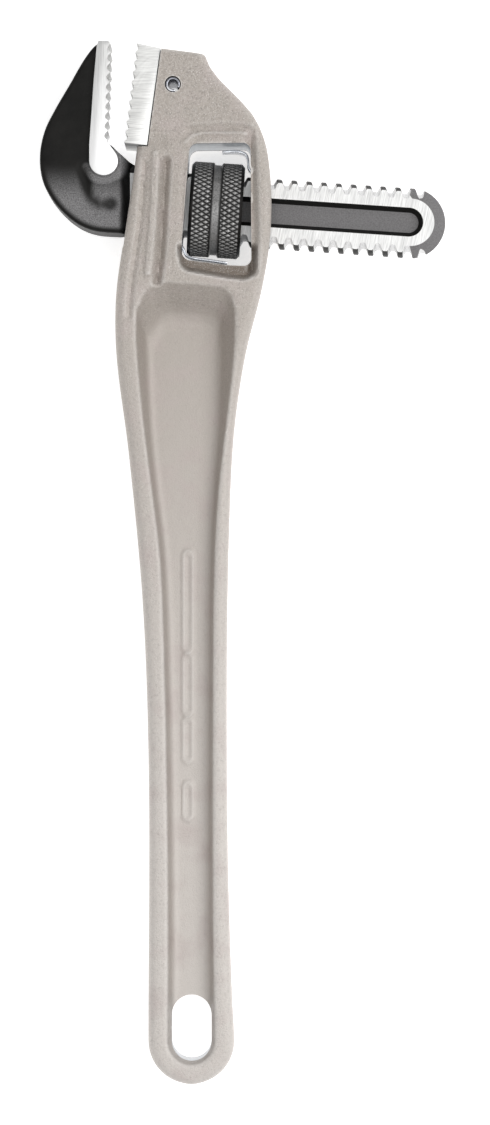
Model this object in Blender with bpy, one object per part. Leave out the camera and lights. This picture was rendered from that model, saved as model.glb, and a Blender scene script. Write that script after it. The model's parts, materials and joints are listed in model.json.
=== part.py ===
"""Offset pipe wrench for 350 mm class work: a cast frame with its handle, a hook jaw on a
threaded shank, a knurled adjusting nut, a toothed heel jaw held by a slotted spring pin, and
the two leaf springs that steady the shank.

Lengths are in millimetres on the wrench's own axes: X = 0 on the handle's centre line, Y = 0
at the handle's end, Z = 0 in the mid plane. MM turns them into metres as meshes are made.
The wrench lies flat, and the world origin is under the middle of its outline.
"""

import math

import bmesh
import bpy
from mathutils import Matrix, Vector

MM = 0.001

# overall
JAW_TOP = 355.6
HEAD_HALF = 17.0
HANDLE_HALF = 10.5
WEB_HALF = 4.0
END_CENTRE = (0.4, 14.7)
END_RADIUS = 14.7
HEAD_EDGE = 2.4
HANDLE_EDGE = 3.0
EDGE_SHARE = 0.45  # the most of the width that one edge radius may take
FRAME_TOP = 354.0
SWELL = (206.0, 282.0)  # the heights between which the handle's thickness grows to the head's
EDGE_CHANGE = (240.0, 300.0)  # and those between which the edge radius changes

# outline of the frame: (height, side) pairs, read as smooth curves
FRAME_RIGHT = ((14.7, 15.1), (29, 14.3), (97, 12.6), (199, 13.6), (225, 15.2), (250, 19.0),
               (273, 24.7), (292, 27.5), (312, 27.1), (322, 25.3), (331, 20.8), (338.6, 13.6),
               (344.8, 7.8), (349, 5.6), (354, 4.4))
FRAME_LEFT = ((14.7, -14.3), (114, -14.3), (165, -16.3), (216, -21.1), (250, -25.2),
              (269, -25.2), (288, -22.6), (305, -20.1), (319.4, -18.0), (354, -14.0))

# shank axis: it passes through the nut's centre and falls to the right
NUT_CENTRE = (8.74, 298.7)
SHANK_FALL = math.radians(3.85)
THREAD_PITCH = 5.08
THREAD_CREST = 12.0
THREAD_ROOT = 10.0
CREST_WIDTH = 1.9
ROOT_WIDTH = 1.9
THREAD_PHASE = 0.61
THREAD_GAP = 0.35
THREAD_SIDES = 24
SHANK_HALF = 6.0
SHANK_TIP = 78.8
SHANK_TIP_EDGE = 3.4
SHANK_TIP_SLOPE = 3.6  # how deep the eased edge of the tip goes
SHANK_START = -31.0
NECK = ((-33.0, -10.7), (-24.5, -10.9), (-24.5, 13.2), (-28.6, 13.2), (-33.0, 9.0))
WEB_FLOOR = 2.4
WEB_WIDTH = 9.6
WEB_FLOOR_WIDTH = 7.2
WEB_FLARE = 1.2
WEB_SPAN = (-8.0, 71.0)

# nut
NUT_RADIUS = 16.3
NUT_WIDTH = 18.2
NUT_CHAMFER = 1.4
GROOVE_WIDTH = 3.0
GROOVE_DEPTH = 0.8

# openings of the frame
CLEAR = (-30.0, 30.0)  # z from below to above everything, for a cut right through
WINDOW = ((-3.2, 281.3), (12.9, 279.3), (20.9, 278.9), (20.6, 320.6), (-0.1, 320.3))
WINDOW_ROUND = 2.6
PASSAGE_HALF = 6.6
LEFT_PASSAGE = ((-40, 285.3), (1, 285.3), (1, 312.1), (-9.5, 313.0), (-12, 317.0), (-15, 318.7),
                (-40, 318.7))
RIGHT_PASSAGE = ((18, 285.2), (32, 284.2), (32, 313.2), (18, 313.6))
MOUTH = ((-40, -14.4), (-18.8, -14.4), (-14.6, -PASSAGE_HALF), (-14.6, PASSAGE_HALF),
         (-18.8, 14.4), (-40, 14.4))
MOUTH_SPAN = (285.3, 318.7)
HOLE_WIDTH = 13.6
HOLE_SPAN = (7.8, 30.7)
POCKET_RIGHT = ((14.7, 8.3), (59, 7.8), (135, 7.8), (181, 8.2), (204, 9.1), (232, 12.2),
                (258, 15.5))
POCKET_LEFT = ((14.7, -7.6), (59, -7.5), (91, -7.8), (135, -8.5), (181, -10.2), (204, -13.0),
               (232, -16.3), (258, -18.4))
POCKET_HEAD = ((15.9, 265.0), (14.3, 270.0), (8.5, 273.0), (3.0, 274.2), (-9.2, 274.2),
               (-13.6, 272.6), (-17.2, 268.4))
POCKET_DRAFT = 1.7
POCKET_OPENS = (190.0, 262.0)  # the draft doubles between these heights
POCKET_LEVELS = ((WEB_HALF, 1.0), (HANDLE_HALF, 0.0), (HEAD_HALF + 4.0, -1.0))  # z, drafts in
RAMP_RUN = 3.6  # how far the head end slopes, in drafts
RAMP_NARROWS = 0.16
TOP_CUT = ((-14, 353.2), (6.2, 350.6), (12, 360), (-14, 362))
THUMB_CENTRE = (9.5, 284.0, 24.0)
THUMB_RADII = (14.0, 10.6, 10.8)

# heel jaw, its seat and its pin
SEAT = ((-14.3, 319.4), (-9.7, 352.8))
HEEL_FACE = ((-22.4, 320.6), (-18.2, 354.4))
HEEL_HALF = 16.2
TANG_HALF = 6.2
TANG = ((-15.5, 324.2), (0.2, 323.2), (2.4, 350.0), (-11.0, 352.4))
TANG_SLOT = ((-19.0, 323.8), (0.6, 322.8), (3.2, 362.0), (-16.0, 362.0))
PIN_CENTRE = (-5.8, 340.4)
PIN_RADIUS = 2.5
PIN_WALL = 0.8
PIN_LENGTH = 32.8
PIN_SLOT = math.radians(44)
PIN_SLOT_AT = math.radians(-52)
PIN_GAP = 0.3
FIT_GAP = 0.3
TOOTH_PITCH = 3.4
TOOTH_DEPTH = 1.05

# hook jaw
HOOK_HALF = 12.6
HOOK_SETBACK = Vector((-1.8, -0.4))  # the black body's face, behind the tips of the teeth
HOOK_FOOT = (-18.0, 289.6)
HOOK_EDGE = 3.2
PAD_HALF = 14.0
HOOK_FACE = ((-28.1, 321.3), (-26.9, 354.4))
HOOK_BACK = ((-31.0, 355.4), (-33.6, 352.9), (-37.0, 347.9), (-41.1, 340.7), (-45.9, 332.5),
             (-49.7, 324.9), (-51.3, 316.4), (-50.2, 307.6), (-45.9, 299.9), (-39.4, 293.8),
             (-32.3, 290.7), (-22.4, 289.9))
HOOK_THROAT = ((-18.0, 313.3), (-20.7, 314.9), (-24.5, 317.9), (-26.9, 320.3))
PAD_BACK = ((-27.7, JAW_TOP), (-31.2, JAW_TOP), (-31.7, 353.9), (-32.8, 342.0), (-34.3, 320.0))
PAD_END = (-29.4, 314.6)
PAD_END_RADIUS = 4.9
NECK_HALF = 5.8
SHOULDER = ((-24.4, PAD_HALF + 0.1), (-20.4, SHANK_HALF - 0.1), (-10.0, SHANK_HALF - 0.1),
            (-10.0, 20.0), (-24.4, 20.0))

# leaf springs
LEAF_THICK = 0.8
LEAF_HALF = 4.6
UPPER_LEAF = ((10.9, 318.4), (15.4, 318.6), (18.6, 317.9), (19.7, 316.0), (19.85, 313.6),
              (20.6, 312.0), (22.6, 311.3), (26.6, 311.0))
LOWER_LEAF = ((12.6, 280.4), (7.0, 281.3), (1.0, 282.1), (-1.3, 283.1), (-2.15, 284.8),
              (-3.0, 286.1), (-5.4, 286.6), (-17.0, 287.4))

# how the wrench stands in the world
OUTLINE_LEFT = min(x for x, y in HOOK_BACK)
OUTLINE_RIGHT = NUT_CENTRE[0] + (SHANK_TIP - THREAD_CREST) * math.cos(SHANK_FALL) + THREAD_CREST


# ---------------------------------------------------------------- helpers
def clear_scene():
    for old in list(bpy.data.objects):
        bpy.data.objects.remove(old, do_unlink=True)


def finish_of(name, colour, roughness, metallic):
    """A plain Principled material; colour is linear RGB."""
    material = bpy.data.materials.new(name)
    material.use_nodes = True
    shader = material.node_tree.nodes["Principled BSDF"]
    shader.inputs["Base Color"].default_value = (*colour, 1.0)
    shader.inputs["Roughness"].default_value = roughness
    shader.inputs["Metallic"].default_value = metallic
    return material


def empty_at(name, x, y, z=0.0, turn=0.0, parent=None):
    marker = bpy.data.objects.new(name, None)
    bpy.context.scene.collection.objects.link(marker)
    marker.location = (x * MM, y * MM, z * MM)
    marker.rotation_euler = (0.0, 0.0, turn)
    marker.parent = parent
    return marker


def solid(name, mesh, parent, material=None, crease=35):
    """An object from a bmesh in the wrench's own axes, in millimetres, set into its parent's
    frame. With no material it is a hidden cutter or helper."""
    for vertex in mesh.verts:
        vertex.co *= MM
    if parent.parent:
        bmesh.ops.transform(mesh, matrix=parent.matrix_basis.inverted(), verts=mesh.verts)
    bmesh.ops.recalc_face_normals(mesh, faces=mesh.faces)
    data = bpy.data.meshes.new(name)
    mesh.to_mesh(data)
    mesh.free()
    data.shade_smooth()
    data.set_sharp_from_angle(angle=math.radians(crease))
    thing = bpy.data.objects.new(name, data)
    bpy.context.scene.collection.objects.link(thing)
    thing.parent = parent
    if material:
        data.materials.append(material)
    else:
        thing.hide_render = True
        thing.display_type = "WIRE"
    return thing


def combine(thing, other, operation):
    step = thing.modifiers.new(f"{operation} {other.name}", "BOOLEAN")
    step.object = other
    step.operation = operation
    step.solver = "EXACT"


def bevel(thing, width, segments=2, angle=40):
    step = thing.modifiers.new("Bevel", "BEVEL")
    step.width = width * MM
    step.segments = segments
    step.limit_method = "ANGLE"
    step.angle_limit = math.radians(angle)
    step.use_clamp_overlap = True


def prism(outline, low, high, across=False):
    """The (x, y) outline raised from z = low to high, or the (x, z) outline along y if across."""
    if across:
        return loft([[(x, y, z) for x, z in outline] for y in (low, high)])
    return loft([[(x, y, z) for x, y in outline] for z in (low, high)])


def loft(rings):
    """A closed skin over rings that have the same number of points."""
    mesh = bmesh.new()
    skin(mesh, [[mesh.verts.new(point) for point in ring] for ring in rings])
    return mesh


def skin(mesh, rings):
    count = len(rings[0])
    for first, second in zip(rings, rings[1:]):
        for i in range(count):
            j = (i + 1) % count
            mesh.faces.new((first[i], first[j], second[j], second[i]))
    mesh.faces.new(rings[0][::-1])
    mesh.faces.new(rings[-1])


def curve_at(keys, place):
    """A smooth curve through (place, value) keys, by cubic pieces with averaged slopes."""
    if place <= keys[0][0]:
        return keys[0][1]
    if place >= keys[-1][0]:
        return keys[-1][1]
    slopes = [(b[1] - a[1]) / (b[0] - a[0]) for a, b in zip(keys, keys[1:])]
    tangents = [slopes[0]] + [(a + b) / 2 for a, b in zip(slopes, slopes[1:])] + [slopes[-1]]
    i = max(n for n in range(len(keys) - 1) if keys[n][0] <= place)
    span = keys[i + 1][0] - keys[i][0]
    t = (place - keys[i][0]) / span
    return (
        (2 * t**3 - 3 * t**2 + 1) * keys[i][1]
        + (t**3 - 2 * t**2 + t) * span * tangents[i]
        + (3 * t**2 - 2 * t**3) * keys[i + 1][1]
        + (t**3 - t**2) * span * tangents[i + 1]
    )


def blend(place, start, end, first, last):
    """first before start, last after end, and a smooth step between."""
    t = min(1.0, max(0.0, (place - start) / (end - start)))
    return first + (last - first) * t * t * (3 - 2 * t)


def spread(start, end, step):
    """Even places from start to end, both included, no further apart than step."""
    count = max(1, math.ceil((end - start) / step))
    return [start + (end - start) * i / count for i in range(count + 1)]


def filleted(corners, radius, steps=4):
    """The polygon with each corner rounded by an arc."""
    outline = []
    for i, corner in enumerate(corners):
        here = Vector(corner)
        before = (Vector(corners[i - 1]) - here).normalized()
        after = (Vector(corners[(i + 1) % len(corners)]) - here).normalized()
        half = before.angle(after) / 2
        middle = here + (before + after).normalized() * radius / math.sin(half)
        start = here + before * radius / math.tan(half) - middle
        end = here + after * radius / math.tan(half) - middle
        turn = start.angle_signed(end)
        for s in range(steps + 1):
            outline.append(tuple(middle + Matrix.Rotation(-turn * s / steps, 2) @ start))
    return outline


def smooth_path(points, pieces=4):
    """Points along a curve that passes through the given ones."""
    ends = [Vector(points[0]) * 2 - Vector(points[1]), Vector(points[-1]) * 2 - Vector(points[-2])]
    p = [ends[0], *map(Vector, points), ends[1]]
    path = []
    for i in range(1, len(p) - 2):
        for s in range(pieces):
            t = s / pieces
            path.append(
                0.5 * (2 * p[i] + (p[i + 1] - p[i - 1]) * t
                       + (2 * p[i - 1] - 5 * p[i] + 4 * p[i + 1] - p[i + 2]) * t * t
                       + (3 * p[i] - p[i - 1] - 3 * p[i + 1] + p[i + 2]) * t**3)
            )
    return path + [p[-2]]


def teeth(bottom, top, inward):
    """A row of teeth from bottom to top as outline points: flat tips on the line between them,
    and slanted valleys cut towards inward."""
    low, high = Vector(bottom), Vector(top)
    count = round((high - low).length / TOOTH_PITCH)
    pitch = (high - low) / count
    valley = Vector(inward) * TOOTH_DEPTH
    outline = []
    for n in range(count):
        outline += [low + pitch * n, low + pitch * (n + 0.16), low + pitch * (n + 0.46) + valley,
                    low + pitch * (n + 0.72) + valley]
    return outline + [high]


def shank_to_wrench():
    """The matrix from the shank's axes (X along it, from the nut's centre) to the wrench's."""
    return Matrix.Translation((*NUT_CENTRE, 0.0)) @ Matrix.Rotation(-SHANK_FALL, 4, "Z")


def on_shank(mesh):
    bmesh.ops.transform(mesh, matrix=shank_to_wrench(), verts=mesh.verts)
    return mesh


def threaded_rod(grow, first, last):
    """A rod with a right-hand thread from turn first to turn last, its surface moved out by grow.
    The grid of faces follows the helix, so the end of one turn is the start of the next."""
    slack = grow * 0.8
    profile = (
        (-CREST_WIDTH / 2 - slack, THREAD_CREST + grow),
        (CREST_WIDTH / 2 + slack, THREAD_CREST + grow),
        (THREAD_PITCH / 2 - ROOT_WIDTH / 2 + slack, THREAD_ROOT + grow),
        (THREAD_PITCH / 2 + ROOT_WIDTH / 2 - slack, THREAD_ROOT + grow),
    )
    mesh = bmesh.new()

    def ring(place, radius, lead):
        points = []
        for j in range(THREAD_SIDES):
            share = j / THREAD_SIDES
            around = 2 * math.pi * share
            points.append(mesh.verts.new((place + lead * share, radius * math.cos(around),
                                          radius * math.sin(around))))
        return points

    grid = []
    for turn in range(first, last):
        for shift, radius in profile:
            grid.append(ring(THREAD_PHASE + shift + THREAD_PITCH * turn, radius, THREAD_PITCH))
    start = ring(THREAD_PITCH * (first - 1), THREAD_ROOT, 0)
    end = ring(THREAD_PITCH * (last + 1), THREAD_ROOT, 0)
    for before, after in zip([start, *grid], [*grid, end]):
        for j in range(THREAD_SIDES - 1):
            mesh.faces.new((before[j], after[j], after[j + 1], before[j + 1]))
    for i in range(len(grid) - 5):
        mesh.faces.new((grid[i][-1], grid[i + 1][-1], grid[i + 5][0], grid[i + 4][0]))
    mesh.faces.new([start[-1], start[0]] + [grid[n][0] for n in range(5)] + [grid[0][-1]])
    mesh.faces.new([end[0], end[-1]] + [grid[-n][-1] for n in range(1, 6)] + [grid[-1][0]])
    mesh.faces.new(start)
    mesh.faces.new(end)
    return on_shank(mesh)


def rounded_slot(start, end, half, steps=10):
    """A slot's outline along the shank, with round ends of radius half."""
    outline = []
    for centre, side in ((end - half, -math.pi / 2), (start + half, math.pi / 2)):
        for s in range(steps + 1):
            around = side + math.pi * s / steps
            outline.append((centre + half * math.cos(around), half * math.sin(around)))
    return outline


# ---------------------------------------------------------------- frame and handle
def frame_ring(height):
    """The frame's rounded cross-section at one height."""
    if height < END_CENTRE[1]:
        reach = math.sqrt(max(0.0, END_RADIUS**2 - (END_CENTRE[1] - height) ** 2))
        left, right = END_CENTRE[0] - reach, END_CENTRE[0] + reach
    else:
        left, right = curve_at(FRAME_LEFT, height), curve_at(FRAME_RIGHT, height)
    half = blend(height, *SWELL, HANDLE_HALF, HEAD_HALF)
    edge = min(blend(height, *EDGE_CHANGE, HANDLE_EDGE, HEAD_EDGE), (right - left) * EDGE_SHARE)
    ring = []
    for x, z, quarter in ((right - edge, half - edge, 0), (left + edge, half - edge, 1),
                          (left + edge, edge - half, 2), (right - edge, edge - half, 3)):
        for s in range(4):
            around = (quarter + s / 3) * math.pi / 2
            ring.append((x + edge * math.cos(around), height, z + edge * math.sin(around)))
    return ring


def frame_body():
    """The outer shape: stations up the round end, the handle and the head."""
    around_end = [END_CENTRE[1] - END_RADIUS * math.cos(math.radians(a)) for a in range(6, 90, 7)]
    stations = (around_end + spread(END_CENTRE[1], SWELL[0] - 6, 13)
                + spread(*SWELL, 6.5) + spread(SWELL[1] + 4, FRAME_TOP, 4))
    return loft([frame_ring(height) for height in stations])


def handle_pocket(side):
    """The long recess in one face, with drafted walls: wide at the face, narrow at the web."""
    rings = []
    heights = spread(END_CENTRE[1], POCKET_RIGHT[-1][0], 11)
    for half, inset in POCKET_LEVELS:
        def drawn_in(height):
            return inset * blend(height, *POCKET_OPENS, POCKET_DRAFT, POCKET_DRAFT * 2)

        bottom = [math.radians(a) for a in range(-165, 0, 15)]
        radius = (POCKET_RIGHT[0][1] - POCKET_LEFT[0][1]) / 2 - drawn_in(0)
        middle = (POCKET_RIGHT[0][1] + POCKET_LEFT[0][1]) / 2
        outline = [(middle + radius * math.cos(a), END_CENTRE[1] + radius * math.sin(a))
                   for a in bottom]
        outline += [(curve_at(POCKET_RIGHT, h) - drawn_in(h), h) for h in heights]
        drop = RAMP_RUN * inset * POCKET_DRAFT
        outline += [(x * (1 - RAMP_NARROWS * inset), y - drop) for x, y in POCKET_HEAD]
        outline += [(curve_at(POCKET_LEFT, h) + drawn_in(h), h) for h in reversed(heights)]
        rings.append([(x, y, side * half) for x, y in outline])
    return loft(rings)


def hang_hole():
    """A slot through the handle's end with fully round ends."""
    radius = HOLE_WIDTH / 2
    outline = []
    for centre, start in ((HOLE_SPAN[1] - radius, 0), (HOLE_SPAN[0] + radius, 180)):
        for a in range(0, 181, 18):
            around = math.radians(start + a)
            outline.append((END_CENTRE[0] + radius * math.cos(around),
                            centre + radius * math.sin(around)))
    return prism(outline, -HEAD_HALF, HEAD_HALF)


def thumb_scoop(side):
    """The dished hollow below the window, which clears a thumb on the nut."""
    mesh = bmesh.new()
    bmesh.ops.create_uvsphere(mesh, u_segments=20, v_segments=12, radius=1.0)
    place = Matrix.Translation((THUMB_CENTRE[0], THUMB_CENTRE[1], side * THUMB_CENTRE[2]))
    bmesh.ops.transform(mesh, matrix=place @ Matrix.Diagonal((*THUMB_RADII, 1.0)), verts=mesh.verts)
    return mesh


def cylinder(x, y, radius, length, sides=20):
    mesh = bmesh.new()
    bmesh.ops.create_cone(mesh, cap_ends=True, segments=sides, radius1=radius, radius2=radius,
                          depth=length, matrix=Matrix.Translation((x, y, 0.0)))
    return mesh


def build_frame(wrench, material):
    frame = solid("frame_handle", frame_body(), wrench, material, crease=30)
    edge = Vector(SEAT[1]) - Vector(SEAT[0])
    beyond = tuple(Vector(SEAT[1]) + edge * 0.4)
    cutters = {
        "cut_seat": prism((SEAT[0], SEAT[1], beyond, (-40, beyond[1]), (-40, SEAT[0][1])), *CLEAR),
        "cut_top": prism(TOP_CUT, *CLEAR),
        "cut_window": prism(filleted(WINDOW, WINDOW_ROUND), *CLEAR),
        "cut_left_passage": prism(LEFT_PASSAGE, -PASSAGE_HALF, PASSAGE_HALF),
        "cut_mouth": prism(MOUTH, *MOUTH_SPAN, across=True),
        "cut_right_passage": prism(RIGHT_PASSAGE, -PASSAGE_HALF, PASSAGE_HALF),
        "cut_tang_slot": prism(TANG_SLOT, -TANG_HALF - FIT_GAP, TANG_HALF + FIT_GAP),
        "cut_pin_hole": cylinder(*PIN_CENTRE, PIN_RADIUS + PIN_GAP, 60),
        "cut_hang_hole": hang_hole(),
        "cut_pocket_front": handle_pocket(1),
        "cut_pocket_back": handle_pocket(-1),
        "cut_thumb_front": thumb_scoop(1),
        "cut_thumb_back": thumb_scoop(-1),
    }
    for name, mesh in cutters.items():
        combine(frame, solid(name, mesh, wrench), "DIFFERENCE")


# ---------------------------------------------------------------- heel jaw and its pin
def build_heel(wrench, jaw_material, pin_material):
    left = [tuple(p) for p in teeth(*HEEL_FACE, inward=(1.0, -0.1))]
    back = [(SEAT[1][0] - FIT_GAP, 352.7), (SEAT[0][0] - FIT_GAP, SEAT[0][1] + FIT_GAP)]
    heel = solid("heel_jaw", prism(left + back, -HEEL_HALF, HEEL_HALF), wrench, jaw_material)
    tang = solid("add_heel_tang", prism(TANG, -TANG_HALF, TANG_HALF), wrench)
    combine(heel, tang, "UNION")
    hole = solid("cut_heel_pin_hole", cylinder(*PIN_CENTRE, PIN_RADIUS + PIN_GAP, 60), wrench)
    combine(heel, hole, "DIFFERENCE")

    rim = []
    steps = 22
    sweep = 2 * math.pi - PIN_SLOT
    for radius, order in ((PIN_RADIUS, range(steps + 1)),
                          (PIN_RADIUS - PIN_WALL, range(steps, -1, -1))):
        for s in order:
            around = PIN_SLOT_AT + PIN_SLOT / 2 + sweep * s / steps
            rim.append((PIN_CENTRE[0] + radius * math.cos(around),
                        PIN_CENTRE[1] + radius * math.sin(around)))
    solid("heel_jaw_pin", prism(rim, -PIN_LENGTH / 2, PIN_LENGTH / 2), wrench, pin_material)


# ---------------------------------------------------------------- hook jaw
def hook_outline():
    face = [tuple(Vector(point) + HOOK_SETBACK) for point in HOOK_FACE]
    back = [tuple(p) for p in smooth_path(HOOK_BACK, 3)]
    return face + back + [HOOK_FOOT, *HOOK_THROAT]


def tooth_pad():
    """The raised strip behind the teeth, with a round lower end."""
    face = [tuple(p) for p in teeth(*HOOK_FACE, inward=(-1.0, 0.0))]
    end = [(PAD_END[0] + PAD_END_RADIUS * math.cos(math.radians(a)),
            PAD_END[1] + PAD_END_RADIUS * math.sin(math.radians(a))) for a in range(180, 401, 20)]
    return prism(face + list(PAD_BACK) + end, -PAD_HALF, PAD_HALF)


def shank_blank():
    """The shank before threading: flat sides, a round tip and eased tip edges."""
    radius = THREAD_CREST
    centre = SHANK_TIP - radius
    side = radius + 1.0
    slope = SHANK_HALF - SHANK_TIP_SLOPE
    arc = [math.radians(a) for a in range(-90, 91, 12)]
    rings = []
    for half, inset in ((-SHANK_HALF, SHANK_TIP_EDGE), (-slope, 0.0), (slope, 0.0),
                        (SHANK_HALF, SHANK_TIP_EDGE)):
        outline = [(SHANK_START, -side), (centre, inset - side)]
        outline += [(centre + (radius - inset) * math.cos(a), (radius - inset) * math.sin(a))
                    for a in arc]
        outline += [(centre, side - inset), (SHANK_START, side)]
        rings.append([(x, y, half) for x, y in outline])
    return on_shank(loft(rings))


def web_groove(side):
    """The long recess in one side of the shank."""
    rings = []
    for half, width in ((WEB_FLOOR, WEB_FLOOR_WIDTH), (SHANK_HALF, WEB_WIDTH),
                        (SHANK_HALF + 2.0, WEB_WIDTH + WEB_FLARE)):
        grow = (width - WEB_WIDTH) / 2
        outline = rounded_slot(WEB_SPAN[0] - grow, WEB_SPAN[1] + grow, width / 2)
        rings.append([(x, y, side * half) for x, y in outline])
    return on_shank(loft(rings))


def build_hook(wrench, shank_axis, material):
    hook = solid("hook_jaw", prism(hook_outline(), -HOOK_HALF, HOOK_HALF), shank_axis, material)
    bevel(hook, HOOK_EDGE, segments=3, angle=50)
    pad = solid("add_tooth_pad", tooth_pad(), wrench)
    combine(hook, pad, "UNION")
    for side, label in ((1, "front"), (-1, "back")):
        profile = [(x, side * z) for x, z in SHOULDER]
        cutter = solid(f"cut_shoulder_{label}", prism(profile, 280, 330, across=True), wrench)
        combine(hook, cutter, "DIFFERENCE")
    neck = on_shank(prism(NECK, -NECK_HALF, NECK_HALF))
    combine(hook, solid("add_neck", neck, wrench), "UNION")
    shank = solid("add_shank", threaded_rod(0.0, -6, 17), wrench)
    combine(shank, solid("keep_shank", shank_blank(), wrench), "INTERSECT")
    combine(hook, shank, "UNION")
    for side, label in ((1, "front"), (-1, "back")):
        combine(hook, solid(f"cut_web_{label}", web_groove(side), wrench), "DIFFERENCE")


# ---------------------------------------------------------------- adjusting nut
def nut_blank():
    """The nut turned about the shank's axis, still solid: two bands, a groove, eased ends."""
    half, groove = NUT_WIDTH / 2, GROOVE_WIDTH / 2
    profile = ((-half, NUT_RADIUS - NUT_CHAMFER), (-half + NUT_CHAMFER, NUT_RADIUS),
               (-groove, NUT_RADIUS), (-groove + 0.5, NUT_RADIUS - GROOVE_DEPTH),
               (groove - 0.5, NUT_RADIUS - GROOVE_DEPTH), (groove, NUT_RADIUS),
               (half - NUT_CHAMFER, NUT_RADIUS), (half, NUT_RADIUS - NUT_CHAMFER))
    sides = 48
    rings = [[(x, r * math.cos(2 * math.pi * s / sides), r * math.sin(2 * math.pi * s / sides))
              for s in range(sides)] for x, r in profile]
    return on_shank(loft(rings))


def build_nut(shank_axis, material):
    nut = solid("adjusting_nut", nut_blank(), shank_axis, material)
    tap = solid("cut_nut_thread", threaded_rod(THREAD_GAP, -4, 4), shank_axis)
    combine(nut, tap, "DIFFERENCE")


# ---------------------------------------------------------------- leaf springs
def leaf(points):
    """A strip bent along the points, with its thickness laid half to each side."""
    path = smooth_path(points, 3)
    sides = ([], [])
    for i, place in enumerate(path):
        along = (path[min(i + 1, len(path) - 1)] - path[max(i - 1, 0)]).normalized()
        across = Vector((-along.y, along.x)) * LEAF_THICK / 2
        sides[0].append(tuple(place + across))
        sides[1].append(tuple(place - across))
    return prism(sides[0] + sides[1][::-1], -LEAF_HALF, LEAF_HALF)


def main():
    clear_scene()
    wrench = empty_at("wrench", -(OUTLINE_LEFT + OUTLINE_RIGHT) / 2, -JAW_TOP / 2, HEAD_HALF)
    shank_axis = empty_at("shank_axis", *NUT_CENTRE, turn=-SHANK_FALL, parent=wrench)
    bpy.context.view_layer.update()

    painted = finish_of("cast_frame_paint", (0.50, 0.46, 0.42), 0.5, 0.15)
    forged = finish_of("black_forged_steel", (0.02, 0.02, 0.018), 0.42, 0.5)
    oxide = finish_of("black_oxide_steel", (0.03, 0.03, 0.028), 0.3, 0.7)
    ground = finish_of("ground_steel", (0.72, 0.72, 0.70), 0.32, 0.9)
    spring = finish_of("spring_steel", (0.55, 0.56, 0.58), 0.28, 0.9)

    build_frame(wrench, painted)
    build_heel(wrench, ground, spring)
    build_hook(wrench, shank_axis, forged)
    build_nut(shank_axis, oxide)
    solid("upper_leaf_spring", leaf(UPPER_LEAF), shank_axis, spring)
    solid("lower_leaf_spring", leaf(LOWER_LEAF), shank_axis, spring)


main()
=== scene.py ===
import json
import math

import bmesh
import bpy
import numpy as np
from mathutils import Matrix, Vector


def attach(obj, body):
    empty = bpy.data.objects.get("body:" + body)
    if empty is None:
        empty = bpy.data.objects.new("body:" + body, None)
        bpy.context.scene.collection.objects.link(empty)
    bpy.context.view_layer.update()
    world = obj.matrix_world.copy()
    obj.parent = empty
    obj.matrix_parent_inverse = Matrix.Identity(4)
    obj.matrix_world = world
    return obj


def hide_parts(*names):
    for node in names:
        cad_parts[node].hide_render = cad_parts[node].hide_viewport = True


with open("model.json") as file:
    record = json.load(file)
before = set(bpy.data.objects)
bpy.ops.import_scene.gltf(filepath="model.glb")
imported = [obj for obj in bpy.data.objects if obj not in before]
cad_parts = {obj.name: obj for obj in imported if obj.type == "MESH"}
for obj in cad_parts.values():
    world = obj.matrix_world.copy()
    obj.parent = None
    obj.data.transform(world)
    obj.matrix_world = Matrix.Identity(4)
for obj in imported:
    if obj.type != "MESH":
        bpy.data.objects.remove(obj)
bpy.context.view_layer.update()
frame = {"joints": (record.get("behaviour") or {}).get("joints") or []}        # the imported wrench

print("frame loaded")

# Lengths are millimetres on the wrench's own axes: x across, from the handle's centre line,
# y up the handle from its end, z out of the mid plane. The nut's centre places them in the world.
milli = 0.001
nutCentre = Vector((8.74, 298.7, 0.0))
joints = {joint["name"]: joint for joint in frame["joints"]}
origin = Vector(joints["jaw_rock"]["pos_m"]) - nutCentre * milli
shankRun = -Vector(joints["jaw_slide"]["axis"])
shankFall = -math.atan2(shankRun.y, shankRun.x)
toWrench = Matrix.Translation(nutCentre) @ Matrix.Rotation(-shankFall, 4, "Z")
threadPitch = 5.08


# ---- shader nodes
class Wire:
    # a node's output that can be added, multiplied and so on, each step a Math node
    def __init__(self, tree, socket):
        self.tree, self.socket = tree, socket

    def maths(self, operation, first, second):
        step = self.tree.nodes.new("ShaderNodeMath")
        step.operation = operation
        for place, value in zip(step.inputs, (first, second)):
            if isinstance(value, Wire):
                self.tree.links.new(value.socket, place)
            else:
                place.default_value = value
        return Wire(self.tree, step.outputs[0])

    def __add__(self, other):
        return self.maths("ADD", self, other)

    def __radd__(self, other):
        return self.maths("ADD", other, self)

    def __sub__(self, other):
        return self.maths("SUBTRACT", self, other)

    def __rsub__(self, other):
        return self.maths("SUBTRACT", other, self)

    def __mul__(self, other):
        return self.maths("MULTIPLY", self, other)

    def __rmul__(self, other):
        return self.maths("MULTIPLY", other, self)


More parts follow.
